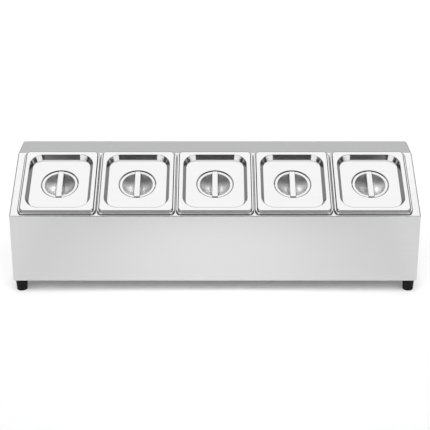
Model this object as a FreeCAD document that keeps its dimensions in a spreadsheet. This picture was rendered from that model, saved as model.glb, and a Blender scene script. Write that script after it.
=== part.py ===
import FreeCAD, Part
import os
from math import atan2, pi
from FreeCAD import Placement, Rotation, Vector
from Sketcher import Constraint

# A countertop ingredient container: a bent stainless body on four rubber feet, whose sloping deck holds a
# row of sixth-size pans with lift-off lids. +X runs along the row, -Y is the front, +Z is up, and the origin
# is on the counter, below the middle of the body.

# Driving dimensions, in millimetres and degrees.
SIZES = (
    # Pans: rim outline, sheet, rolled rim, mouth and tapered wall
    ("pan_count", 5),
    ("pan_width", 162.0),
    ("pan_length", 176.0),
    ("pan_gap", 1.0),
    ("pan_depth", 150.0),
    ("pan_sheet", 0.8),
    ("pan_lip", 5.0),
    ("pan_roll", 2.2),
    ("pan_corner", 12.0),
    ("pan_flange", 10.5),
    ("mouth_corner", 22.0),
    ("mouth_bend", 2.2),
    ("pan_taper", 3.0),
    ("floor_bend", 12.0),
    # Lids: rim, recessed panel, sunk ring and finger bowl
    ("lid_inset", 4.2),
    ("lid_end_inset", 2.6),
    ("lid_sheet", 0.8),
    ("lid_skirt", 5.0),
    ("lid_corner", 9.0),
    ("lid_edge", 1.8),
    ("lid_rim", 10.0),
    ("recess_depth", 11.0),
    ("recess_slope", 27.0),
    ("recess_corner", 29.0),
    ("recess_bend", 1.0),
    ("ring_radius", 39.5),
    ("ring_slope", 2.6),
    ("ring_depth", 2.0),
    ("ring_bend", 0.6),
    ("bowl_radius", 32.0),
    ("bowl_depth", 13.0),
    # Lid handles: a channel-shaped strap across the bowl
    ("strap_width", 12.6),
    ("strap_overlap", 4.2),
    ("strap_height", 2.6),
    ("strap_sheet", 1.2),
    ("strap_corner", 2.5),
    ("strap_edge", 1.2),
    # Body: deck, ledge, front, sheet and flanges
    ("deck_angle", 26.0),
    ("deck_margin", 3.0),
    ("end_margin", 16.0),
    ("ledge_depth", 77.0),
    ("front_height", 147.5),
    ("body_sheet", 1.0),
    ("bend_inside", 1.0),
    ("bend_clearance", 0.5),
    ("end_lap", 3.0),
    ("end_bend", 1.5),
    ("end_flange", 12.0),
    ("foot_flange", 36.0),
    ("base_flange", 12.0),
    ("well_clearance", 1.7),
    # Feet and their fasteners
    ("foot_height", 25.0),
    ("foot_top", 25.0),
    ("foot_tip", 21.5),
    ("foot_edge", 1.5),
    ("foot_inset", 15.5),
    ("foot_seat", 12.0),
    ("screw_diameter", 5.0),
    ("screw_end", 1.5),
    ("head_diameter", 9.5),
    ("head_height", 3.0),
    ("head_edge", 1.0),
    ("socket_width", 3.0),
    ("socket_depth", 1.6),
    ("washer_diameter", 12.0),
    ("washer_sheet", 1.0),
    ("nut_width", 8.0),
    ("nut_height", 4.0),
    ("screw_clearance", 0.25),
    ("thread_clearance", 0.05),
)

# Sizes worked out from the driving dimensions, as expressions on the sheet.
PITCH = "(Sizes.pan_width + Sizes.pan_gap)"
BODY_WIDTH = f"(Sizes.pan_count * {PITCH} - Sizes.pan_gap + 2 * Sizes.end_margin)"
DECK_LENGTH = "(Sizes.pan_length + 2 * Sizes.deck_margin)"
DECK_RUN = f"({DECK_LENGTH} * cos(Sizes.deck_angle))"
DECK_RISE = f"({DECK_LENGTH} * sin(Sizes.deck_angle))"
BODY_DEPTH = f"({DECK_RUN} + Sizes.ledge_depth)"
FRONT_Y = f"(-{BODY_DEPTH} / 2)"
BACK_Y = f"({BODY_DEPTH} / 2)"
BEND_Y = f"({FRONT_Y} + {DECK_RUN})"
FRONT_Z = "(Sizes.foot_height + Sizes.front_height)"
LEDGE_Z = f"({FRONT_Z} + {DECK_RISE})"
OUTER_BEND = "(Sizes.bend_inside + Sizes.body_sheet)"
BASE_Z = "(Sizes.foot_height + Sizes.body_sheet)"

# Middle of a pan on the deck, and the two outlines of its wall at the rim.
PAN_MIDDLE = f"({DECK_LENGTH} / 2)"
PAN_Y = f"({FRONT_Y} + {PAN_MIDDLE} * cos(Sizes.deck_angle))"
PAN_Z = f"({FRONT_Z} + {PAN_MIDDLE} * sin(Sizes.deck_angle))"
FIRST_PAN_X = f"(-(Sizes.pan_count - 1) * {PITCH} / 2)"
MOUTH_WIDTH = "(Sizes.pan_width - 2 * Sizes.pan_flange)"
MOUTH_LENGTH = "(Sizes.pan_length - 2 * Sizes.pan_flange)"
PAN_WALL = "(Sizes.pan_sheet / cos(Sizes.pan_taper))"
FLANGE_UNDER = "(Sizes.pan_lip - Sizes.pan_sheet)"

# Lid levels above the deck, and the outline of its recessed panel.
LID_TOP = "(Sizes.pan_lip + Sizes.lid_skirt)"
RIM_UNDER = f"({LID_TOP} - Sizes.lid_sheet)"
LID_FLOOR = f"({LID_TOP} - Sizes.recess_depth)"
RING_TOP = f"({LID_FLOOR} - Sizes.ring_depth)"
LID_WIDTH = "(Sizes.pan_width - 2 * Sizes.lid_inset)"
LID_LENGTH = "(Sizes.pan_length - 2 * Sizes.lid_end_inset)"
RECESS_WIDTH = f"({LID_WIDTH} - 2 * Sizes.lid_rim)"
RECESS_LENGTH = f"({LID_LENGTH} - 2 * Sizes.lid_rim)"
RECESS_WALL = "(Sizes.lid_sheet / cos(Sizes.recess_slope))"
STRAP_LENGTH = "(2 * (Sizes.bowl_radius + Sizes.strap_overlap))"

# Foot and fastener places.
FOOT_X = f"({BODY_WIDTH} / 2 - Sizes.foot_inset)"
FOOT_Y = f"({BODY_DEPTH} / 2 - Sizes.foot_inset)"
SCREW_HOLE = "(Sizes.screw_diameter / 2 + Sizes.screw_clearance)"
SEAT_RADIUS = "(Sizes.washer_diameter / 2 + 2 * Sizes.screw_clearance)"
HEAD_TOP = "(Sizes.foot_seat - Sizes.washer_sheet)"
HEAD_LOW = f"({HEAD_TOP} - Sizes.head_height)"
NUT_Z = f"({BASE_Z} + Sizes.body_sheet)"
SCREW_TOP = f"({NUT_Z} + Sizes.nut_height + Sizes.screw_end)"

# How sketches name the points of a line or an arc, and their own origin and upright axis.
START, END, CENTRE = range(1, 4)
ORIGIN, VERTICAL_AXIS = range(-1, -3, -1)

# How near two places are to count as one.
TOUCH = 1e-4

doc = FreeCAD.newDocument("ingredient_container")
sheet = doc.addObject("Spreadsheet::Sheet", "Sizes")
for row, (alias, number) in enumerate(SIZES, 1):
    sheet.set(f"A{row}", alias)
    sheet.set(f"B{row}", str(number))
    sheet.setAlias(f"B{row}", alias)
doc.recompute()


def value(expression):
    """The number that an expression on the sheet gives now."""
    result = sheet.evalExpression(expression)
    return float(getattr(result, "Value", result))


def new_body(label):
    body = doc.addObject("PartDesign::Body", label)
    body.Label = label
    return body


def origin_feature(body, role):
    return next(feature for feature in body.Origin.OriginFeatures if feature.Role == role)


def new_sketch(body, name, role="XY_Plane", height="0"):
    """A sketch on one of a body's origin planes, raised along the plane's normal."""
    sketch = body.newObject("Sketcher::SketchObject", name)
    sketch.AttachmentSupport = [(origin_feature(body, role), "")]
    sketch.MapMode = "FlatFace"
    sketch.setExpression("AttachmentOffset.Base.z", height)
    return sketch


def dimension(sketch, name, expression, kind, *places):
    """A named dimension of a sketch, bound to an expression."""
    index = sketch.addConstraint(Constraint(kind, *places, value(expression)))
    sketch.renameConstraint(index, name)
    sketch.setExpression(f"Constraints.{name}", expression)


def rounded_rectangle(sketch, width, length, corner):
    """A rounded rectangle centred on the sketch's origin."""
    half_width = value(width) / 2
    half_length = value(length) / 2
    radius = value(corner)
    flat_x = half_width - radius
    flat_y = half_length - radius
    sides = (
        ((-flat_x, -half_length), (flat_x, -half_length)),
        ((half_width, -flat_y), (half_width, flat_y)),
        ((flat_x, half_length), (-flat_x, half_length)),
        ((-half_width, flat_y), (-half_width, -flat_y)),
    )
    centres = ((flat_x, -flat_y), (flat_x, flat_y), (-flat_x, flat_y), (-flat_x, -flat_y))
    for start, end in sides:
        sketch.addGeometry(Part.LineSegment(Vector(*start), Vector(*end)))
    for turn, centre in enumerate(centres):
        circle = Part.Circle(Vector(*centre), Vector(0, 0, 1), radius)
        sketch.addGeometry(Part.ArcOfCircle(circle, (turn - 1) * pi / 2, turn * pi / 2))
    for side in range(4):
        arc = side + 4
        sketch.addConstraint(Constraint("Tangent", side, END, arc, START))
        sketch.addConstraint(Constraint("Tangent", arc, END, (side + 1) % 4, START))
    for side, way in enumerate(("Horizontal", "Vertical", "Horizontal", "Vertical")):
        sketch.addConstraint(Constraint(way, side))
    for arc in (4, 5, 6):
        sketch.addConstraint(Constraint("Equal", arc, arc + 1))
    sketch.addConstraint(Constraint("Symmetric", 4, CENTRE, 6, CENTRE, ORIGIN, START))
    dimension(sketch, "width", width, "DistanceX", 3, START, 1, START)
    dimension(sketch, "length", length, "DistanceY", 0, START, 2, START)
    dimension(sketch, "corner", corner, "Radius", 4)


def polygon(sketch, corners, bulges=None):
    """A closed outline through corners given as pairs of expressions.

    Its sides are straight, apart from those that bulges names by number: each of those is an arc whose
    centre is on the vertical axis, at the height that bulges gives.
    """
    bulges = bulges or {}
    points = [Vector(value(x), value(y)) for x, y in corners]
    joins = []
    for side, (start, end) in enumerate(zip(points, points[1:] + points[:1])):
        if side in bulges:
            joins.append(add_axis_arc(sketch, start, end, value(bulges[side])))
        else:
            sketch.addGeometry(Part.LineSegment(start, end))
            joins.append((START, END))
    for side, (x, y) in enumerate(corners):
        before = (side - 1) % len(corners)
        first, last = joins[side][0], joins[before][1]
        sketch.addConstraint(Constraint("Coincident", before, last, side, first))
        dimension(sketch, f"across_{side}", x, "DistanceX", side, first)
        dimension(sketch, f"along_{side}", y, "DistanceY", side, first)
    for side in bulges:
        sketch.addConstraint(Constraint("PointOnObject", side, CENTRE, VERTICAL_AXIS))


def add_axis_arc(sketch, start, end, height):
    """An arc between two points below its centre, which is on the vertical axis. Gives its two end names."""
    centre = Vector(0, height)
    angles = [atan2(point.y - height, point.x) for point in (start, end)]
    ring = Part.Circle(centre, Vector(0, 0, 1), (start - centre).Length)
    sketch.addGeometry(Part.ArcOfCircle(ring, min(angles), max(angles)))
    return (START, END) if angles[0] < angles[1] else (END, START)


def rectangle(half_x, half_y):
    """Corners of a rectangle centred on a sketch's origin."""
    return ((f"-{half_x}", f"-{half_y}"), (half_x, f"-{half_y}"), (half_x, half_y), (f"-{half_x}", half_y))


def hexagon(sketch, width):
    """A regular hexagon centred on the sketch's origin, given across its flats."""
    reach = f"({width} / (2 * cos(30)))"
    polygon(sketch, [(f"{reach} * cos({turn})", f"{reach} * sin({turn})") for turn in range(0, 360, 60)])


def circle(sketch, radius):
    """A circle on the sketch's origin."""
    sketch.addGeometry(Part.Circle(Vector(0, 0), Vector(0, 0, 1), value(radius)))
    sketch.addConstraint(Constraint("Coincident", 0, CENTRE, ORIGIN, START))
    dimension(sketch, "radius", radius, "Radius", 0)


def pad(body, name, sketch, length, upwards=True, taper="0", symmetric=False):
    feature = body.newObject("PartDesign::Pad", name)
    feature.Profile = sketch
    feature.Reversed = not upwards
    feature.SideType = "Symmetric" if symmetric else "One side"
    feature.setExpression("Length", length)
    feature.setExpression("TaperAngle", taper)
    doc.recompute()
    return feature


def pocket(body, name, sketch, length, upwards=False, taper="0"):
    before = body.Tip.Shape.Volume
    feature = body.newObject("PartDesign::Pocket", name)
    feature.Profile = sketch
    feature.Reversed = upwards
    feature.setExpression("Length", length)
    feature.setExpression("TaperAngle", taper)
    doc.recompute()
    if not feature.Shape.Volume < before:
        raise RuntimeError(f"{name} removes nothing")
    return feature


def revolve(body, name, sketch):
    feature = body.newObject("PartDesign::Revolution", name)
    feature.Profile = sketch
    feature.ReferenceAxis = (sketch, ["V_Axis"])
    doc.recompute()
    return feature


def fillet(body, name, radius, is_chosen):
    """Rounds every edge of a body that passes a test."""
    base = body.Tip
    chosen = [f"Edge{number}" for number, edge in enumerate(base.Shape.Edges, 1) if is_chosen(edge.BoundBox)]
    feature = body.newObject("PartDesign::Fillet", name)
    feature.Base = (base, chosen)
    feature.setExpression("Radius", radius)
    doc.recompute()
    return feature


def thickness(body, name, wall, is_open):
    """Hollows a body to a sheet, and leaves out every face that passes a test."""
    base = body.Tip
    opened = [f"Face{number}" for number, face in enumerate(base.Shape.Faces, 1) if is_open(face.BoundBox)]
    feature = body.newObject("PartDesign::Thickness", name)
    feature.Base = (base, opened)
    feature.Join = "Intersection"
    feature.setExpression("Value", wall)
    doc.recompute()
    return feature


def near(number, expression):
    return abs(number - value(expression)) < TOUCH


def runs_along_x(box):
    return box.XLength > TOUCH and box.YLength < TOUCH and box.ZLength < TOUCH


def is_level(box, height):
    return near(box.ZMin, height) and near(box.ZMax, height)


def is_at_end(box, distance):
    """Whether a box lies flat in a plane square to X, at a distance to either side of the middle."""
    return box.XLength < TOUCH and near(abs(box.XMin), distance)


def four_corners(body, name, originals):
    """Repeats features made at the front left foot at the other three feet."""
    pattern = body.newObject("PartDesign::LinearPattern", name)
    pattern.Originals = originals
    pattern.Direction = (origin_feature(body, "X_Axis"), [""])
    pattern.Direction2 = (origin_feature(body, "Y_Axis"), [""])
    pattern.setExpression("Length", f"2 * {FOOT_X}")
    pattern.setExpression("Length2", f"2 * {FOOT_Y}")
    pattern.Occurrences = 2
    pattern.Occurrences2 = 2
    body.Tip = pattern
    doc.recompute()


def place(body, x, y, z):
    for axis, expression in zip("xyz", (x, y, z)):
        body.setExpression(f"Placement.Base.{axis}", expression)


def place_on_deck(body, number):
    """Puts a piece made over the origin on the deck, in the place of a pan counted from the left."""
    body.Placement = Placement(Vector(), Rotation(Vector(1, 0, 0), value("Sizes.deck_angle")))
    body.setExpression("Placement.Rotation.Angle", "Sizes.deck_angle")
    place(body, f"{FIRST_PAN_X} + {number - 1} * {PITCH}", PAN_Y, PAN_Z)


def copy_of(master, label):
    """A further body with the same shape as a first one."""
    body = new_body(label)
    clone = body.newObject("PartDesign::FeatureBase", f"{label}_form")
    clone.BaseFeature = master.Tip
    clone.Placement = master.Tip.Placement
    body.Tip = clone
    doc.recompute()
    return body


def make_body_shell():
    """The bent sheet that makes the front, the deck, the ledge, the back and the foot flanges."""
    body = new_body("body_shell")
    section = new_sketch(body, "shell_section", "YZ_Plane")
    polygon(section, (
        (FRONT_Y, "Sizes.foot_height"),
        (FRONT_Y, FRONT_Z),
        (BEND_Y, LEDGE_Z),
        (BACK_Y, LEDGE_Z),
        (BACK_Y, "Sizes.foot_height"),
    ))
    pad(body, "shell_block", section, f"{BODY_WIDTH} - 2 * Sizes.end_lap", symmetric=True)
    fillet(body, "shell_bends", OUTER_BEND, runs_along_x)
    thickness(body, "shell_sheet", "Sizes.body_sheet",
              lambda face: is_at_end(face, f"{BODY_WIDTH} / 2 - Sizes.end_lap"))
    cut_shell_bottom(body)
    cut_wells(body)
    cut_foot_holes(body, "shell_foot_holes")


def cut_shell_bottom(body):
    """Opens the bottom of the shell between the front and the rear foot flange."""
    opening = new_sketch(body, "bottom_opening", height="Sizes.foot_height")
    half_x = f"({BODY_WIDTH} / 2)"
    half_y = f"({BODY_DEPTH} / 2 - Sizes.foot_flange)"
    polygon(opening, rectangle(half_x, half_y))
    pocket(body, "bottom_cut", opening, "2 * Sizes.body_sheet", upwards=True)


def cut_wells(body):
    """Cuts the row of openings in the deck that the pans hang through."""
    well = new_sketch(body, "well_outline")
    well.AttachmentOffset = Placement(Vector(), Rotation(Vector(1, 0, 0), value("Sizes.deck_angle")))
    well.setExpression("AttachmentOffset.Rotation.Angle", "Sizes.deck_angle")
    for axis, expression in zip("xyz", (FIRST_PAN_X, PAN_Y, PAN_Z)):
        well.setExpression(f"AttachmentOffset.Base.{axis}", expression)
    room = f"({PAN_WALL} + Sizes.well_clearance)"
    rounded_rectangle(well, f"{MOUTH_WIDTH} + 2 * {room}", f"{MOUTH_LENGTH} + 2 * {room}",
                      f"Sizes.mouth_corner + {room}")
    cut = pocket(body, "well_cut", well, "2 * Sizes.body_sheet")
    pattern = body.newObject("PartDesign::LinearPattern", "well_row")
    pattern.Originals = [cut]
    pattern.Direction = (origin_feature(body, "X_Axis"), [""])
    pattern.setExpression("Length", f"(Sizes.pan_count - 1) * {PITCH}")
    pattern.setExpression("Occurrences", "Sizes.pan_count")
    body.Tip = pattern
    doc.recompute()


def cut_foot_holes(body, name):
    """Cuts the four holes for the foot screws up through a panel at the bottom of the body."""
    hole = new_sketch(body, f"{name}_outline", height="Sizes.foot_height")
    hole.setExpression("AttachmentOffset.Base.x", f"-{FOOT_X}")
    hole.setExpression("AttachmentOffset.Base.y", f"-{FOOT_Y}")
    circle(hole, SCREW_HOLE)
    cut = pocket(body, f"{name}_cut", hole, "3 * Sizes.body_sheet", upwards=True)
    four_corners(body, name, [cut])


def end_profile(inset):
    """Upper corners of the body's section, from the front to the back, moved inwards by an expression."""
    front_drop = f"{inset} * (1 - sin(Sizes.deck_angle)) / cos(Sizes.deck_angle)"
    return [
        (f"{FRONT_Y} + {inset}", f"{FRONT_Z} - {front_drop}"),
        (f"{BEND_Y} + {inset} * tan(Sizes.deck_angle / 2)", f"{LEDGE_Z} - {inset}"),
        (f"{BACK_Y} - {inset}", f"{LEDGE_Z} - {inset}"),
    ]


def make_end_panel(label, side):
    """An end panel: a web with flanges that lie inside the shell along its front, deck, ledge and back."""
    body = new_body(label)
    outer_x = f"({BODY_WIDTH} / 2)"
    outside = "Sizes.body_sheet"
    inside = "2 * Sizes.body_sheet"
    notch = "2 * Sizes.bend_inside"
    notch_top = f"({BASE_Z} + {notch})"
    outline = new_sketch(body, f"{label}_outline", "YZ_Plane", f"{side} * {outer_x}")
    polygon(outline, end_profile(outside) + [
        (f"{BACK_Y} - {outside}", notch_top),
        (f"{BACK_Y} - {outside} - {notch}", BASE_Z),
        (f"{FRONT_Y} + {outside} + {notch}", BASE_Z),
        (f"{FRONT_Y} + {outside}", notch_top),
    ])
    pad(body, f"{label}_block", outline, "Sizes.end_flange", upwards=side < 0)
    corner = "(Sizes.bend_inside + Sizes.bend_clearance)"
    fillet(body, f"{label}_corners", corner,
           lambda edge: runs_along_x(edge) and edge.ZMin > value(notch_top) + TOUCH)
    fillet(body, f"{label}_bend", "Sizes.end_bend + Sizes.body_sheet",
           lambda edge: is_at_end(edge, outer_x) and edge.ZMax > value(notch_top) + TOUCH)
    web_x = f"({outer_x} - Sizes.body_sheet)"
    hollow = new_sketch(body, f"{label}_hollow", "YZ_Plane", f"{side} * {web_x}")
    polygon(hollow, end_profile(inside) + [
        (f"{BACK_Y} - {inside}", "Sizes.foot_height"),
        (f"{FRONT_Y} + {inside}", "Sizes.foot_height"),
    ])
    pocket(body, f"{label}_cut", hollow, "Sizes.end_flange", upwards=side < 0)
    fillet(body, f"{label}_inner_bend", "Sizes.end_bend", lambda edge: is_at_end(edge, web_x)
           and edge.ZMax > value(notch_top) + TOUCH)


def make_base_panel():
    """The panel that closes the body below: it lies on the foot flanges, with flanges against the ends."""
    body = new_body("base_panel")
    outline = new_sketch(body, "base_outline", height=BASE_Z)
    half_x = f"({BODY_WIDTH} / 2 - Sizes.body_sheet)"
    bends = "(2 * Sizes.body_sheet + Sizes.end_bend + Sizes.bend_clearance)"
    half_y = f"({BODY_DEPTH} / 2 - {bends})"
    polygon(outline, rectangle(half_x, half_y))
    pad(body, "base_block", outline, "Sizes.base_flange")
    fillet(body, "base_bends", OUTER_BEND, lambda edge: is_level(edge, BASE_Z) and is_at_end(edge, half_x))
    thickness(body, "base_sheet", "Sizes.body_sheet",
              lambda face: face.YLength < TOUCH or face.ZMin > value(BASE_Z) + TOUCH and face.ZLength < TOUCH)
    cut_foot_holes(body, "base_foot_holes")


def is_inside(box, width):
    """Whether a box keeps within a width that is centred on the origin."""
    return max(abs(box.XMin), abs(box.XMax)) < value(width) / 2 + TOUCH


def make_pan():
    """A deep-drawn pan over the origin, with the underside of its rolled rim at height 0."""
    body = new_body("pan_1")
    make_pan_rim(body)
    wall_width = f"({MOUTH_WIDTH} + 2 * {PAN_WALL})"
    wall = new_sketch(body, "pan_wall_outline", height="Sizes.pan_lip")
    rounded_rectangle(wall, wall_width, f"{MOUTH_LENGTH} + 2 * {PAN_WALL}",
                      f"Sizes.mouth_corner + {PAN_WALL}")
    pad(body, "pan_wall", wall, "Sizes.pan_depth", upwards=False, taper="-Sizes.pan_taper")
    mouth = new_sketch(body, "pan_mouth_outline", height="Sizes.pan_lip")
    rounded_rectangle(mouth, MOUTH_WIDTH, MOUTH_LENGTH, "Sizes.mouth_corner")
    pocket(body, "pan_inside", mouth, "Sizes.pan_depth - Sizes.pan_sheet", taper="-Sizes.pan_taper")
    fillet(body, "pan_inner_floor_bend", "Sizes.floor_bend",
           lambda edge: is_level(edge, "Sizes.pan_lip - Sizes.pan_depth + Sizes.pan_sheet"))
    fillet(body, "pan_floor_bend", "Sizes.floor_bend + Sizes.pan_sheet",
           lambda edge: is_level(edge, "Sizes.pan_lip - Sizes.pan_depth"))
    fillet(body, "pan_under_bend", "Sizes.mouth_bend",
           lambda edge: is_level(edge, FLANGE_UNDER) and is_inside(edge, wall_width))
    fillet(body, "pan_mouth_bend", "Sizes.mouth_bend + Sizes.pan_sheet",
           lambda edge: is_level(edge, "Sizes.pan_lip") and is_inside(edge, MOUTH_WIDTH))
    return body


def make_pan_rim(body):
    """The flat flange round a pan's mouth and the rolled lip that it rests on."""
    rim = new_sketch(body, "pan_rim_outline")
    rounded_rectangle(rim, "Sizes.pan_width", "Sizes.pan_length", "Sizes.pan_corner")
    pad(body, "pan_rim_block", rim, "Sizes.pan_lip")
    under = new_sketch(body, "pan_rim_hollow")
    rounded_rectangle(under, "Sizes.pan_width - 2 * Sizes.pan_sheet",
                      "Sizes.pan_length - 2 * Sizes.pan_sheet", "Sizes.pan_corner - Sizes.pan_sheet")
    pocket(body, "pan_rim_cut", under, FLANGE_UNDER, upwards=True)
    fillet(body, "pan_inner_roll", "Sizes.pan_roll - Sizes.pan_sheet",
           lambda edge: is_level(edge, FLANGE_UNDER))
    fillet(body, "pan_roll", "Sizes.pan_roll", lambda edge: is_level(edge, "Sizes.pan_lip"))


def make_lid():
    """A pressed lid in the frame of its pan, standing on the pan's flange."""
    body = new_body("lid_1")
    make_lid_rim(body)
    make_lid_recess(body)
    make_lid_bowl(body)
    return body


def make_lid_rim(body):
    """The flat rim of a lid with its short skirt, still closed in the middle."""
    outline = new_sketch(body, "lid_outline", height="Sizes.pan_lip")
    rounded_rectangle(outline, LID_WIDTH, LID_LENGTH, "Sizes.lid_corner")
    pad(body, "lid_block", outline, "Sizes.lid_skirt")
    under = new_sketch(body, "lid_hollow", height="Sizes.pan_lip")
    rounded_rectangle(under, f"{LID_WIDTH} - 2 * Sizes.lid_sheet", f"{LID_LENGTH} - 2 * Sizes.lid_sheet",
                      "Sizes.lid_corner - Sizes.lid_sheet")
    pocket(body, "lid_cut", under, "Sizes.lid_skirt - Sizes.lid_sheet", upwards=True)
    fillet(body, "lid_inner_edge", "Sizes.lid_edge", lambda edge: is_level(edge, RIM_UNDER))
    fillet(body, "lid_outer_edge", "Sizes.lid_edge + Sizes.lid_sheet", lambda edge: is_level(edge, LID_TOP))


def make_lid_recess(body):
    """The panel of a lid, pressed down inside the rim with sloping walls."""
    wall_width = f"({RECESS_WIDTH} + 2 * {RECESS_WALL})"
    wall = new_sketch(body, "recess_wall_outline", height=LID_TOP)
    rounded_rectangle(wall, wall_width, f"{RECESS_LENGTH} + 2 * {RECESS_WALL}",
                      f"Sizes.recess_corner + {RECESS_WALL}")
    pad(body, "recess_wall", wall, "Sizes.recess_depth + Sizes.lid_sheet", upwards=False,
        taper="-Sizes.recess_slope")
    recess = new_sketch(body, "recess_outline", height=LID_TOP)
    rounded_rectangle(recess, RECESS_WIDTH, RECESS_LENGTH, "Sizes.recess_corner")
    pocket(body, "recess_cut", recess, "Sizes.recess_depth", taper="-Sizes.recess_slope")
    fillet(body, "recess_floor_bend", "Sizes.recess_bend", lambda edge: is_level(edge, LID_FLOOR))
    fillet(body, "recess_under_bend", "Sizes.recess_bend + Sizes.lid_sheet",
           lambda edge: is_level(edge, f"{LID_FLOOR} - Sizes.lid_sheet"))
    fillet(body, "recess_rim_under_bend", "Sizes.recess_bend",
           lambda edge: is_level(edge, RIM_UNDER) and is_inside(edge, wall_width))
    fillet(body, "recess_rim_bend", "Sizes.recess_bend + Sizes.lid_sheet",
           lambda edge: is_level(edge, LID_TOP) and is_inside(edge, RECESS_WIDTH))


def make_lid_bowl(body):
    """The sunk ring in the middle of a lid's panel, and the finger bowl inside it."""
    hole = new_sketch(body, "bowl_hole", height=LID_FLOOR)
    circle(hole, "Sizes.ring_radius")
    pocket(body, "bowl_hole_cut", hole, "2 * Sizes.lid_sheet")
    section = new_sketch(body, "bowl_section", "XZ_Plane")
    draw_bowl_section(section)
    revolve(body, "bowl", section)
    fillet(body, "ring_bends", "Sizes.ring_bend",
           lambda edge: (is_level(edge, RING_TOP) or is_level(edge, LID_FLOOR))
           and is_inside(edge, "2 * Sizes.ring_radius"))


def draw_bowl_section(sketch):
    """Half of a section through a lid's ring and bowl: it steps down to the ring, then dips to the axis."""
    step_low = "(Sizes.ring_radius - Sizes.ring_slope)"
    bowl_low = f"({RING_TOP} - Sizes.bowl_depth)"
    ring_under = f"({RING_TOP} - Sizes.lid_sheet)"
    sphere = "((Sizes.bowl_radius ^ 2 + Sizes.bowl_depth ^ 2) / (2 * Sizes.bowl_depth))"
    middle = f"({bowl_low} + {sphere})"
    step_out = "(Sizes.lid_sheet * tan(atan(Sizes.ring_depth / Sizes.ring_slope) / 2))"
    under_radius = f"sqrt(({sphere} + Sizes.lid_sheet) ^ 2 - ({middle} - {ring_under}) ^ 2)"
    corners = (
        ("Sizes.ring_radius", LID_FLOOR),
        (step_low, RING_TOP),
        ("Sizes.bowl_radius", RING_TOP),
        ("0", bowl_low),
        ("0", f"{bowl_low} - Sizes.lid_sheet"),
        (under_radius, ring_under),
        (f"{step_low} + {step_out}", ring_under),
        (f"Sizes.ring_radius + {step_out}", f"{LID_FLOOR} - Sizes.lid_sheet"),
    )
    polygon(sketch, corners, bulges={2: middle, 4: middle})


def make_lid_handle():
    """The strap across a lid's bowl, in the frame of its pan: a shallow channel that stands on the ring."""
    body = new_body("lid_handle_1")
    outline = new_sketch(body, "strap_outline", height=RING_TOP)
    rounded_rectangle(outline, "Sizes.strap_width", STRAP_LENGTH, "Sizes.strap_corner")
    pad(body, "strap_block", outline, "Sizes.strap_height")
    fillet(body, "strap_edges", "Sizes.strap_edge",
           lambda edge: is_level(edge, f"{RING_TOP} + Sizes.strap_height"))
    channel = new_sketch(body, "strap_channel", height=RING_TOP)
    polygon(channel, rectangle("(Sizes.strap_width / 2 - Sizes.strap_sheet)", STRAP_LENGTH))
    pocket(body, "strap_channel_cut", channel, "Sizes.strap_height - Sizes.strap_sheet", upwards=True)
    return body


def make_foot():
    """A tapered rubber foot over the origin, hollow below for its screw's head."""
    body = new_body("front_left_foot")
    section = new_sketch(body, "foot_section", "XZ_Plane")
    polygon(section, (
        (SCREW_HOLE, "Sizes.foot_height"),
        (SCREW_HOLE, "Sizes.foot_seat"),
        (SEAT_RADIUS, "Sizes.foot_seat"),
        (SEAT_RADIUS, "0"),
        ("Sizes.foot_tip / 2", "0"),
        ("Sizes.foot_top / 2", "Sizes.foot_height"),
    ))
    revolve(body, "foot_form", section)
    fillet(body, "foot_edge", "Sizes.foot_edge",
           lambda edge: is_level(edge, "0") and not is_inside(edge, f"2 * {SEAT_RADIUS}"))
    return body


def make_foot_screws():
    """Button-headed screws that hold the feet, heads down inside them."""
    body = new_body("foot_screws")
    section = new_sketch(body, "screw_section", "XZ_Plane")
    shank = "(Sizes.screw_diameter / 2)"
    head = "(Sizes.head_diameter / 2)"
    polygon(section, (
        ("0", HEAD_LOW),
        (f"{head} - Sizes.head_edge", HEAD_LOW),
        (head, f"{HEAD_LOW} + Sizes.head_edge"),
        (head, HEAD_TOP),
        (shank, HEAD_TOP),
        (shank, SCREW_TOP),
        ("0", SCREW_TOP),
    ))
    form = revolve(body, "screw_form", section)
    socket = new_sketch(body, "screw_socket", height=HEAD_LOW)
    hexagon(socket, "Sizes.socket_width")
    cut = pocket(body, "screw_socket_cut", socket, "Sizes.socket_depth", upwards=True)
    four_corners(body, "screw_places", [form, cut])
    return body


def make_foot_washers():
    """Flat washers between the screw heads and the feet."""
    body = new_body("foot_washers")
    section = new_sketch(body, "washer_section", "XZ_Plane")
    polygon(section, (
        (SCREW_HOLE, HEAD_TOP),
        ("Sizes.washer_diameter / 2", HEAD_TOP),
        ("Sizes.washer_diameter / 2", "Sizes.foot_seat"),
        (SCREW_HOLE, "Sizes.foot_seat"),
    ))
    form = revolve(body, "washer_form", section)
    four_corners(body, "washer_places", [form])
    return body


def make_foot_nuts():
    """Hexagon nuts that stand on the base panel, on the ends of the foot screws."""
    body = new_body("foot_nuts")
    outline = new_sketch(body, "nut_outline", height=NUT_Z)
    hexagon(outline, "Sizes.nut_width")
    form = pad(body, "nut_form", outline, "Sizes.nut_height")
    bore = new_sketch(body, "nut_bore", height=f"{NUT_Z} + Sizes.nut_height")
    circle(bore, "Sizes.screw_diameter / 2 + Sizes.thread_clearance")
    cut = pocket(body, "nut_bore_cut", bore, "Sizes.nut_height")
    four_corners(body, "nut_places", [form, cut])
    return body


def make_feet():
    """The four feet, and their screws, washers and nuts as one group each."""
    front_left = make_foot()
    places = {
        "front_right_foot": (FOOT_X, f"-{FOOT_Y}"),
        "rear_left_foot": (f"-{FOOT_X}", FOOT_Y),
        "rear_right_foot": (FOOT_X, FOOT_Y),
    }
    for label, (x, y) in places.items():
        place(copy_of(front_left, label), x, y, "0")
    for group in (front_left, make_foot_screws(), make_foot_washers(), make_foot_nuts()):
        place(group, f"-{FOOT_X}", f"-{FOOT_Y}", "0")


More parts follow.
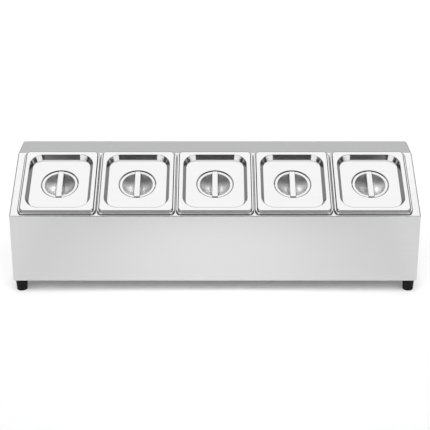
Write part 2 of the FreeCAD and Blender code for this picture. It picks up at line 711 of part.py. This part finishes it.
def make_row():
    """The row of pans with their lids and handles, numbered from the left."""
    for master in (make_pan(), make_lid(), make_lid_handle()):
        stem = master.Label.rsplit("_", 1)[0]
        for number in range(2, int(value("Sizes.pan_count")) + 1):
            place_on_deck(copy_of(master, f"{stem}_{number}"), number)
        place_on_deck(master, 1)


def check_document():
    """Stops at any object that failed, and at any sub-part without a sound shape."""
    doc.recompute()
    for item in doc.Objects:
        if "Invalid" in item.State or "Error" in item.State:
            raise RuntimeError(f"{item.Label} failed: {item.State}")
    for body in sub_parts():
        if body.Shape.isNull() or not body.Shape.isValid():
            raise RuntimeError(f"{body.Label} has no sound shape")


def sub_parts():
    return [item for item in doc.Objects if item.TypeId == "PartDesign::Body"]


make_body_shell()
make_end_panel("left_end_panel", -1)
make_end_panel("right_end_panel", 1)
make_base_panel()
make_feet()
make_row()
check_document()
os.makedirs("parts", exist_ok=True)
for sub_part in sub_parts():
    sub_part.Shape.exportStep(f"parts/{sub_part.Label}.step")
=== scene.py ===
"""Looks of a countertop ingredient container: a brushed steel body with a row of polished pans and lids."""
import math

import bpy
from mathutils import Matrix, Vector

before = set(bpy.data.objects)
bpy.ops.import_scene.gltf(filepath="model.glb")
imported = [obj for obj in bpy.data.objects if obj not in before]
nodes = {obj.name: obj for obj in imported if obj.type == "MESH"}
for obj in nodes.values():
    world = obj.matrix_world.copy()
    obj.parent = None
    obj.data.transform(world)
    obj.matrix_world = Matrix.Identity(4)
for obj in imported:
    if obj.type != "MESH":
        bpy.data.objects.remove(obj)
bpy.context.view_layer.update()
scene = bpy.context.scene
scene.view_settings.view_transform = "Standard"

PAN_NUMBERS = range(1, 6)
BODY_PANELS = ("body_shell", "left_end_panel", "right_end_panel", "base_panel")
FEET = ("front_left_foot", "front_right_foot", "rear_left_foot", "rear_right_foot")
FASTENERS = ("foot_screws", "foot_washers", "foot_nuts")

# The row on the deck, in metres: the step from pan to pan, the middle of a pan at the deck, and the ways up
# the deck and off it. Levels below are heights off the deck.
PAN_PITCH = 0.163
PAN_MIDDLE = (0.0, -0.0385, 0.2124)
DECK_ANGLE = math.radians(26)
UP_THE_DECK = (0.0, math.cos(DECK_ANGLE), math.sin(DECK_ANGLE))
OFF_THE_DECK = (0.0, -math.sin(DECK_ANGLE), math.cos(DECK_ANGLE))
# The finger bowl of a lid: its radius, the level that it starts below, its roughness, and its painted tones at
# the rear and from the middle to the front: painted shade behind, painted light brighter than the steel in
# front.
BOWL_RADIUS = 0.0325
BOWL_TOP = -0.0032
BOWL_ROUGHNESS = 0.48
BOWL_PAINTED_TONES = (0.38, 0.95)
# The skirt of a lid and the lip of a pan: the lid's half sizes, how far in the skirt's bend reaches, the
# levels of the skirt's foot and top, how far out a pan's lip starts and its top, the roughness of both, and
# their painted shade: a grey tone along the ends and a darker one along the sides, between neighbouring pans.
LID_HALF_WIDTH = 0.0768
LID_HALF_LENGTH = 0.0854
SKIRT_REACH = 0.0016
SKIRT_FOOT = 0.0051
SKIRT_TOP = 0.0097
LIP_REACH = 0.002
LIP_TOP = 0.003
EDGE_ROUGHNESS = 0.3
EDGE_PAINTED_SHADE = (0.33, 0.07)
# The polishing lines: how fine the broad ones are against the fine ones, and the depth of the relief. Then the
# values that a noise takes for the most part.
BROAD_LINES = 0.12
LINE_DEPTH = 0.00002
NOISE_RANGE = (0.3, 0.7)
# The rubber: how fine its grain and dust are, its tones, its roughness, its sheen and the depth of its grain.
GRAIN_SCALE = 1400.0
DUST_SCALE = 160.0
RUBBER_TONES = (0.002, 0.009)
RUBBER_ROUGHNESS = (0.45, 0.7)
RUBBER_SHEEN = 0.15
GRAIN_DEPTH = 0.0002
# Kinds of socket.
NUMBER = "NodeSocketFloat"
VECTOR = "NodeSocketVector"


def set_inputs(tree, node, inputs):
    """Sets a node's inputs to values, or links them from other nodes' sockets."""
    for name, source in inputs.items():
        if isinstance(source, bpy.types.NodeSocket):
            tree.links.new(source, node.inputs[name])
        else:
            node.inputs[name].default_value = source


def add_node(tree, kind, inputs=None, **settings):
    """A node with its settings and its inputs."""
    node = tree.nodes.new(kind)
    for name, setting in settings.items():
        setattr(node, name, setting)
    set_inputs(tree, node, inputs or {})
    return node


def calc(tree, operation, *values):
    """The result of one step of arithmetic on sockets or numbers."""
    return add_node(tree, "ShaderNodeMath", dict(enumerate(values)), operation=operation).outputs[0]


def vector_calc(tree, operation, first, second):
    """The node of one step of arithmetic on two vectors."""
    return add_node(tree, "ShaderNodeVectorMath", {0: first, 1: second}, operation=operation)


def map_range(tree, value, start, end, low, high, way="LINEAR"):
    """A number that goes from low to high as a value goes from start to end."""
    return add_node(tree, "ShaderNodeMapRange", {
        "Value": value, "From Min": start, "From Max": end, "To Min": low, "To Max": high},
        interpolation_type=way).outputs[0]


def soft_step(tree, value, middle, edge):
    """A number that goes smoothly from 0 to 1 as a value passes a middle, by an edge to each side of it."""
    return map_range(tree, value, middle - edge, middle + edge, 0.0, 1.0, "SMOOTHSTEP")


def mix_numbers(tree, share, first, second):
    """A number between two others, by a share of the second."""
    return add_node(tree, "ShaderNodeMix", {0: share, 2: first, 3: second}).outputs[0]


def mix_colours(tree, share, first, second):
    """A colour between two others, by a share of the second."""
    return add_node(tree, "ShaderNodeMix", {0: share, 6: first, 7: second}, data_type="RGBA").outputs[2]


def noise(tree, place, scale, detail, roughness, distortion=0.0):
    """The value of a noise at a place."""
    return add_node(tree, "ShaderNodeTexNoise", {
        "Vector": place, "Scale": scale, "Detail": detail, "Roughness": roughness,
        "Distortion": distortion}).outputs["Fac"]


def grey(tone):
    """An opaque grey."""
    return (tone, tone, tone, 1.0)


def new_group(name, inputs, outputs):
    """An empty shader group. Gives its tree, the sockets of its input node and its output node."""
    tree = bpy.data.node_groups.new(name, "ShaderNodeTree")
    for way, sockets in (("INPUT", inputs), ("OUTPUT", outputs)):
        for socket, kind in sockets.items():
            tree.interface.new_socket(socket, in_out=way, socket_type=kind)
    entry = tree.nodes.new("NodeGroupInput")
    return tree, entry.outputs, tree.nodes.new("NodeGroupOutput")


def make_polishing_lines():
    """Fine parallel lines left by a polishing belt, long in one direction, in the frame of the part."""
    tree, given, result = new_group(
        "polishing_lines", {"Place": VECTOR, "Grain": VECTOR, "Roughness": NUMBER, "Spread": NUMBER},
        {"Roughness": NUMBER, "Height": NUMBER, "Tone": NUMBER})
    place = vector_calc(tree, "MULTIPLY", given["Place"], given["Grain"]).outputs[0]
    broad_place = vector_calc(tree, "MULTIPLY", place, (BROAD_LINES, BROAD_LINES, BROAD_LINES)).outputs[0]
    fine = noise(tree, place, scale=1.0, detail=3.0, roughness=0.6)
    broad = noise(tree, broad_place, scale=1.0, detail=2.0, roughness=0.5)
    both = mix_numbers(tree, 0.5, fine, broad)
    low = calc(tree, "SUBTRACT", given["Roughness"], given["Spread"])
    high = calc(tree, "ADD", given["Roughness"], given["Spread"])
    set_inputs(tree, result, {
        "Roughness": map_range(tree, both, *NOISE_RANGE, low, high), "Height": fine, "Tone": both})
    return tree


def make_wiping_haze():
    """Soft clouds where a cloth has left the metal a little duller or brighter."""
    tree, given, result = new_group("wiping_haze", {"Place": VECTOR, "Amount": NUMBER}, {"Change": NUMBER})
    cloud = noise(tree, given["Place"], scale=9.0, detail=4.0, roughness=0.55, distortion=0.6)
    less = calc(tree, "SUBTRACT", 0.0, given["Amount"])
    set_inputs(tree, result, {"Change": map_range(tree, cloud, *NOISE_RANGE, less, given["Amount"])})
    return tree


def new_material(name):
    """A material with a Principled shader. Gives the material, its tree and the shader."""
    material = bpy.data.materials.new(name)
    material.use_nodes = True
    tree = material.node_tree
    return material, tree, tree.nodes["Principled BSDF"]


def deck_place(tree, place):
    """How far a place is across its own pan, up the deck from the pan's middle, and off the deck."""
    side = add_node(tree, "ShaderNodeSeparateXYZ", {0: place}).outputs["X"]
    across = calc(tree, "WRAP", side, PAN_PITCH / 2, -PAN_PITCH / 2)
    offset = vector_calc(tree, "SUBTRACT", place, PAN_MIDDLE).outputs[0]
    along = vector_calc(tree, "DOT_PRODUCT", offset, UP_THE_DECK).outputs["Value"]
    above = vector_calc(tree, "DOT_PRODUCT", offset, OFF_THE_DECK).outputs["Value"]
    return across, along, above


def in_bowl(tree, across, along, above):
    """A value of 1 in the lids' finger bowls and 0 elsewhere."""
    squares = calc(tree, "ADD", calc(tree, "POWER", across, 2.0), calc(tree, "POWER", along, 2.0))
    inside = calc(tree, "LESS_THAN", calc(tree, "SQRT", squares), BOWL_RADIUS)
    return calc(tree, "MULTIPLY", inside, calc(tree, "LESS_THAN", above, BOWL_TOP))


def on_edge(tree, across, along, above):
    """A value of 1 on the lids' skirts and the pans' lips and 0 elsewhere, and a value of 1 at their sides."""
    side = calc(tree, "SUBTRACT", calc(tree, "ABSOLUTE", across), LID_HALF_WIDTH)
    end = calc(tree, "SUBTRACT", calc(tree, "ABSOLUTE", along), LID_HALF_LENGTH)
    out = calc(tree, "MAXIMUM", side, end)
    level = calc(tree, "MULTIPLY", calc(tree, "GREATER_THAN", above, SKIRT_FOOT),
                 calc(tree, "LESS_THAN", above, SKIRT_TOP))
    skirt = calc(tree, "MULTIPLY", level, calc(tree, "GREATER_THAN", out, -SKIRT_REACH))
    lip = calc(tree, "MULTIPLY", calc(tree, "LESS_THAN", above, LIP_TOP),
               calc(tree, "GREATER_THAN", out, LIP_REACH))
    return calc(tree, "MAXIMUM", skirt, lip), calc(tree, "GREATER_THAN", side, end)


def steel(name, dark, light, roughness, spread, grain, haze, relief, dull_with_painted_tones=False):
    """Stainless steel polished along one direction: two tones, a roughness with its spread and fine relief.

    On the pans and lids, the finger bowls, the skirts and the lips keep the press's dull finish and carry
    painted
    tones: painted shade at the rear of each bowl and painted light towards its front, and painted shade on the
    skirts and lips.
    """
    material, tree, shader = new_material(name)
    place = add_node(tree, "ShaderNodeTexCoord").outputs["Object"]
    lines = add_node(tree, "ShaderNodeGroup", {
        "Place": place, "Grain": grain, "Roughness": roughness, "Spread": spread},
        node_tree=polishing_lines).outputs
    change = add_node(tree, "ShaderNodeGroup", {"Place": place, "Amount": haze},
                      node_tree=wiping_haze).outputs["Change"]
    tone = mix_colours(tree, calc(tree, "ADD", lines["Tone"], change), (*dark, 1.0), (*light, 1.0))
    dullness = calc(tree, "ADD", lines["Roughness"], change)
    if dull_with_painted_tones:
        across, along, above = deck_place(tree, place)
        bowl = in_bowl(tree, across, along, above)
        # Painted shade at the rear of each finger bowl, and painted light, brighter than the steel, towards
        # its front.
        bowl_painted_light_and_shade = map_range(tree, along, BOWL_RADIUS / 2, 0.0, *BOWL_PAINTED_TONES)
        edge, is_side = on_edge(tree, across, along, above)
        # Painted shade on the skirts and lips, darker along the sides between neighbouring pans than along the
        # ends.
        edge_painted_shade = mix_numbers(tree, is_side, *EDGE_PAINTED_SHADE)
        for mask, painted_tone, mask_dullness in ((bowl, bowl_painted_light_and_shade, BOWL_ROUGHNESS),
                                               (edge, edge_painted_shade, EDGE_ROUGHNESS)):
            tone = mix_colours(tree, mask, tone, painted_tone)
            dullness = mix_numbers(tree, mask, dullness, mask_dullness)
    bump = add_node(tree, "ShaderNodeBump", {
        "Strength": relief, "Distance": LINE_DEPTH, "Height": lines["Height"]})
    set_inputs(tree, shader, {
        "Base Color": tone, "Roughness": dullness, "Normal": bump.outputs["Normal"], "Metallic": 1.0})
    return material


def black_rubber():
    """Moulded rubber: nearly black, matt, with a fine grain and a little dust."""
    material, tree, shader = new_material("black_rubber")
    place = add_node(tree, "ShaderNodeTexCoord").outputs["Object"]
    grain = noise(tree, place, GRAIN_SCALE, detail=4.0, roughness=0.65)
    dust = noise(tree, place, DUST_SCALE, detail=5.0, roughness=0.6)
    tone = mix_colours(tree, dust, grey(RUBBER_TONES[0]), grey(RUBBER_TONES[1]))
    bump = add_node(tree, "ShaderNodeBump", {"Strength": 0.35, "Distance": GRAIN_DEPTH, "Height": grain})
    set_inputs(tree, shader, {
        "Base Color": tone, "Roughness": map_range(tree, grain, 0.0, 1.0, *RUBBER_ROUGHNESS),
        "Normal": bump.outputs["Normal"], "Specular IOR Level": RUBBER_SHEEN})
    return material


def finish_nodes(names, material):
    """Gives CAD nodes a material in place of the one that they came with."""
    for name in names:
        for slot in nodes[name].material_slots:
            slot.material = material


def numbered(stem):
    """The names of the five pieces of one kind."""
    return [f"{stem}_{number}" for number in PAN_NUMBERS]


polishing_lines = make_polishing_lines()
wiping_haze = make_wiping_haze()
brushed = steel("brushed_steel", dark=(0.592, 0.592, 0.597), light=(0.637, 0.637, 0.642), roughness=0.14,
                spread=0.02, grain=(3.0, 900.0, 900.0), haze=0.02, relief=0.05)
polished = steel("polished_steel", dark=(0.61, 0.61, 0.61), light=(0.65, 0.65, 0.65), roughness=0.09,
                 spread=0.02, grain=(9.0, 700.0, 700.0), haze=0.01, relief=0.03, dull_with_painted_tones=True)
plain_steel = steel("fastener_steel", dark=(0.5, 0.5, 0.5), light=(0.62, 0.62, 0.62), roughness=0.3,
                    spread=0.08, grain=(300.0, 300.0, 300.0), haze=0.04, relief=0.1)
finish_nodes(BODY_PANELS, brushed)
finish_nodes(numbered("pan") + numbered("lid") + numbered("lid_handle"), polished)
finish_nodes(FASTENERS, plain_steel)
finish_nodes(FEET, black_rubber())

# Studio: a pale floor, a far dome that only reflections see, a sky light, a pool of light in front and two
# small lights for the finger bowls. The floor's edges, in metres.
FLOOR_FRONT = -0.66
FLOOR_BACK = 3.0
FLOOR_SIDE = 2.5
# The floor's own glow and its colour in front of the body, and beside and behind it, where little shadow is
# left. The two change over a soft edge at the body's ends and below its rear half.
BODY_END = 0.425
BODY_REAR = 0.04
END_EDGE = 0.03
REAR_EDGE = 0.06
FLOOR_GLOW = (0.1, 0.65)
FLOOR_COLOUR = (0.82, 0.38)
# The dome: its radius, the angle of its lowest ring, and the step from ring to ring and from point to point.
DOME_RADIUS = 9.0
DOME_LOW = -36
DOME_STEP = 6
# Tone of the dome against the angle from the front, in degrees, the same to both sides: near the horizon,
# where two bright screens flank a dark front and the back is pale, and higher up.
LOW_TONES = ((0, 0.07), (11, 0.07), (13, 1.3), (54, 1.3), (60, 0.06), (76, 0.08), (84, 0.3), (92, 0.25),
             (100, 0.07), (128, 0.07), (134, 0.25), (160, 0.3), (167, 0.77), (180, 0.77))
HIGH_TONES = ((0, 0.07), (40, 0.07), (62, 0.1), (80, 0.3), (100, 0.45), (128, 0.5), (146, 0.25), (180, 0.06))
# The height where the high tones take over from the low ones, and its soft edge, as shares of the radius.
LOW_TOP = 0.48
LOW_EDGE = 0.06
# The bright panel overhead: its tone, and as shares of the height how far it reaches to each side, to the
# front and to the back, and its soft edge. The least height keeps the shares finite near the horizon.
CEILING_TONE = 1.45
CEILING_SIDE = 0.33
CEILING_FRONT = -0.9
CEILING_BACK = 0.5
CEILING_EDGE = 0.06
LEAST_HEIGHT = 0.01
# The world's strength as a light, and as the white behind the object.
WORLD_LIGHT = 0.15
WORLD_WHITE = 1.0
# The lamps: strength, place, aim, and how wide and soft each is.
ORIGIN = (0, 0, 0)
SKY_STRENGTH = 3.3
SKY_PLACE = (0, -1.0, 2.0)
SKY_ANGLE = math.radians(80)
POOL_STRENGTH = 34.0
POOL_PLACE = (0, -1.0, 1.6)
POOL_AIM = (0, -0.32, 0)
POOL_ANGLE = math.radians(23)
POOL_SOFTNESS = 0.15
BOWL_LIGHT_STRENGTH = 0.32
BOWL_LIGHT_PLACE = (0.23, 0.49, 0.84)
BOWL_LIGHT_ANGLE = math.radians(8)
# The camera, fitted to the photo: its place, how far it looks down, and its lens and sensor in millimetres.
CAMERA_PLACE = (0.0, -2.4096, 1.1183)
CAMERA_PITCH = 22.403
CAMERA_LENS = 101.15
CAMERA_SENSOR = 36


def new_mesh_object(name, points, faces):
    """An object of the studio, made from points and faces."""
    mesh = bpy.data.meshes.new(name)
    mesh.from_pydata(points, [], faces)
    made = bpy.data.objects.new(name, mesh)
    scene.collection.objects.link(made)
    return made


def seen_as_background(tree):
    """A value of 1 on rays from the camera and on those that metal or glass sends on, and 0 on the rest."""
    path = add_node(tree, "ShaderNodeLightPath").outputs
    seen = calc(tree, "MAXIMUM", path["Is Camera Ray"], path["Is Glossy Ray"])
    return calc(tree, "MAXIMUM", seen, path["Is Transmission Ray"])


def surface_axes(tree):
    """The three numbers of a surface's place in the scene."""
    place = add_node(tree, "ShaderNodeNewGeometry").outputs["Position"]
    return add_node(tree, "ShaderNodeSeparateXYZ", {0: place}).outputs


def make_floor():
    """A pale floor that keeps the shadow in front of the body and is nearly white beside and behind it."""
    floor = new_mesh_object("floor", [
        (-FLOOR_SIDE, FLOOR_FRONT, 0), (FLOOR_SIDE, FLOOR_FRONT, 0),
        (FLOOR_SIDE, FLOOR_BACK, 0), (-FLOOR_SIDE, FLOOR_BACK, 0)], [(0, 1, 2, 3)])
    material, tree, shader = new_material("pale_floor")
    axes = surface_axes(tree)
    beside = soft_step(tree, calc(tree, "ABSOLUTE", axes["X"]), BODY_END, END_EDGE)
    behind = soft_step(tree, axes["Y"], BODY_REAR, REAR_EDGE)
    away = calc(tree, "MAXIMUM", beside, behind)
    colour = map_range(tree, away, 0.0, 1.0, *FLOOR_COLOUR)
    glow = map_range(tree, away, 0.0, 1.0, *FLOOR_GLOW)
    set_inputs(tree, shader, {
        "Base Color": colour, "Roughness": 0.9, "Specular IOR Level": 0.0, "Emission Color": grey(1.0),
        "Emission Strength": calc(tree, "MULTIPLY", seen_as_background(tree), glow)})
    floor.data.materials.append(material)


def dome_mesh():
    """The points and faces of the dome: rings from below the horizon upwards, and a cap."""
    turns = range(0, 360, DOME_STEP)
    rises = range(DOME_LOW, 90, DOME_STEP)
    points = []
    for rise in rises:
        reach = DOME_RADIUS * math.cos(math.radians(rise))
        height = DOME_RADIUS * math.sin(math.radians(rise))
        for turn in turns:
            angle = math.radians(turn)
            points.append((reach * math.sin(angle), -reach * math.cos(angle), height))
    count = len(turns)
    faces = []
    for ring in range(len(rises) - 1):
        for turn in range(count):
            after = (turn + 1) % count
            faces.append((ring * count + turn, ring * count + after, (ring + 1) * count + after,
                          (ring + 1) * count + turn))
    faces.append(tuple(range(len(points) - count, len(points))))
    return points, faces


def tone_round(tree, share, tones):
    """A colour that follows tones given by angle, against a share of the half turn from front to back."""
    ramp = add_node(tree, "ShaderNodeValToRGB", {0: share})
    stops = ramp.color_ramp.elements
    while len(stops) < len(tones):
        stops.new(0.5)
    for stop, (degrees, tone) in zip(stops, tones):
        stop.position = degrees / 180
        stop.color = grey(tone)
    return ramp.outputs[0]


def dome_tone(tree):
    """The dome's tone at each place: the wall's low and high tones, and the bright panel overhead."""
    axes = surface_axes(tree)
    side = calc(tree, "ABSOLUTE", axes["X"])
    angle = calc(tree, "ARCTAN2", side, calc(tree, "MULTIPLY", axes["Y"], -1.0))
    share = calc(tree, "DIVIDE", angle, math.pi)
    level = soft_step(tree, axes["Z"], DOME_RADIUS * LOW_TOP, DOME_RADIUS * LOW_EDGE)
    wall = mix_colours(tree, level, tone_round(tree, share, LOW_TONES), tone_round(tree, share, HIGH_TONES))
    height = calc(tree, "MAXIMUM", axes["Z"], LEAST_HEIGHT)
    to_side = soft_step(tree, calc(tree, "DIVIDE", side, height), CEILING_SIDE, CEILING_EDGE)
    back = calc(tree, "DIVIDE", axes["Y"], height)
    to_back = soft_step(tree, back, CEILING_BACK, CEILING_EDGE)
    behind_front = soft_step(tree, back, CEILING_FRONT, CEILING_EDGE)
    within = calc(tree, "MULTIPLY", calc(tree, "SUBTRACT", 1.0, to_side), calc(tree, "SUBTRACT", 1.0, to_back))
    return mix_colours(tree, calc(tree, "MULTIPLY", within, behind_front), wall, grey(CEILING_TONE))


def make_dome():
    """A far dome that stands for the studio in the steel's reflections: a wall and a bright panel overhead."""
    dome = new_mesh_object("studio_dome", *dome_mesh())
    material = bpy.data.materials.new("studio_dome")
    material.use_nodes = True
    tree = material.node_tree
    tree.nodes.clear()
    glow = add_node(tree, "ShaderNodeEmission", {"Color": dome_tone(tree)})
    add_node(tree, "ShaderNodeOutputMaterial", {"Surface": glow.outputs[0]})
    material.cycles.emission_sampling = "NONE"
    dome.data.materials.append(material)
    dome.visible_camera = False
    dome.visible_diffuse = False
    dome.visible_shadow = False


def make_world():
    """White behind the object, and weak light from all round."""
    world = bpy.data.worlds.new("white_studio")
    scene.world = world
    world.use_nodes = True
    tree = world.node_tree
    strength = map_range(tree, seen_as_background(tree), 0.0, 1.0, WORLD_LIGHT, WORLD_WHITE)
    set_inputs(tree, tree.nodes["Background"], {"Color": grey(1.0), "Strength": strength})


def new_lamp(name, kind, strength, place, aim, gleam=False):
    """A lamp that lights the floor and the feet, or one that only gleams in the steel."""
    data = bpy.data.lights.new(name, kind)
    data.energy = strength
    lamp = bpy.data.objects.new(name, data)
    scene.collection.objects.link(lamp)
    lamp.location = place
    lamp.rotation_euler = (lamp.location - Vector(aim)).to_track_quat("Z", "Y").to_euler()
    lamp.visible_glossy = gleam
    lamp.visible_diffuse = not gleam
    return data


def make_sky_light():
    """Broad even light from the front, which leaves a short soft shadow below the body."""
    new_lamp("sky_light", "SUN", SKY_STRENGTH, SKY_PLACE, ORIGIN).angle = SKY_ANGLE


def make_pool_light():
    """A pool of light on the floor in front of the middle of the body."""
    data = new_lamp("pool_light", "SPOT", POOL_STRENGTH, POOL_PLACE, POOL_AIM)
    data.spot_size = POOL_ANGLE
    data.spot_blend = 1.0
    data.shadow_soft_size = POOL_SOFTNESS


def make_bowl_lights():
    """Two small lights high behind the body, one for the gleam in each half of the finger bowls."""
    across, back, up = BOWL_LIGHT_PLACE
    for side, way in (("left", -1), ("right", 1)):
        place = (way * across, back, up)
        data = new_lamp(f"bowl_light_{side}", "SUN", BOWL_LIGHT_STRENGTH, place, ORIGIN, gleam=True)
        data.angle = BOWL_LIGHT_ANGLE


def make_camera():
    """The camera, level across and looking down at the body."""
    data = bpy.data.cameras.new("camera")
    data.lens = CAMERA_LENS
    data.sensor_width = CAMERA_SENSOR
    camera = bpy.data.objects.new("camera", data)
    scene.collection.objects.link(camera)
    camera.location = CAMERA_PLACE
    camera.rotation_euler = (math.radians(90 - CAMERA_PITCH), 0, 0)
    scene.camera = camera


make_floor()
make_dome()
make_world()
make_sky_light()
make_pool_light()
make_bowl_lights()
make_camera()
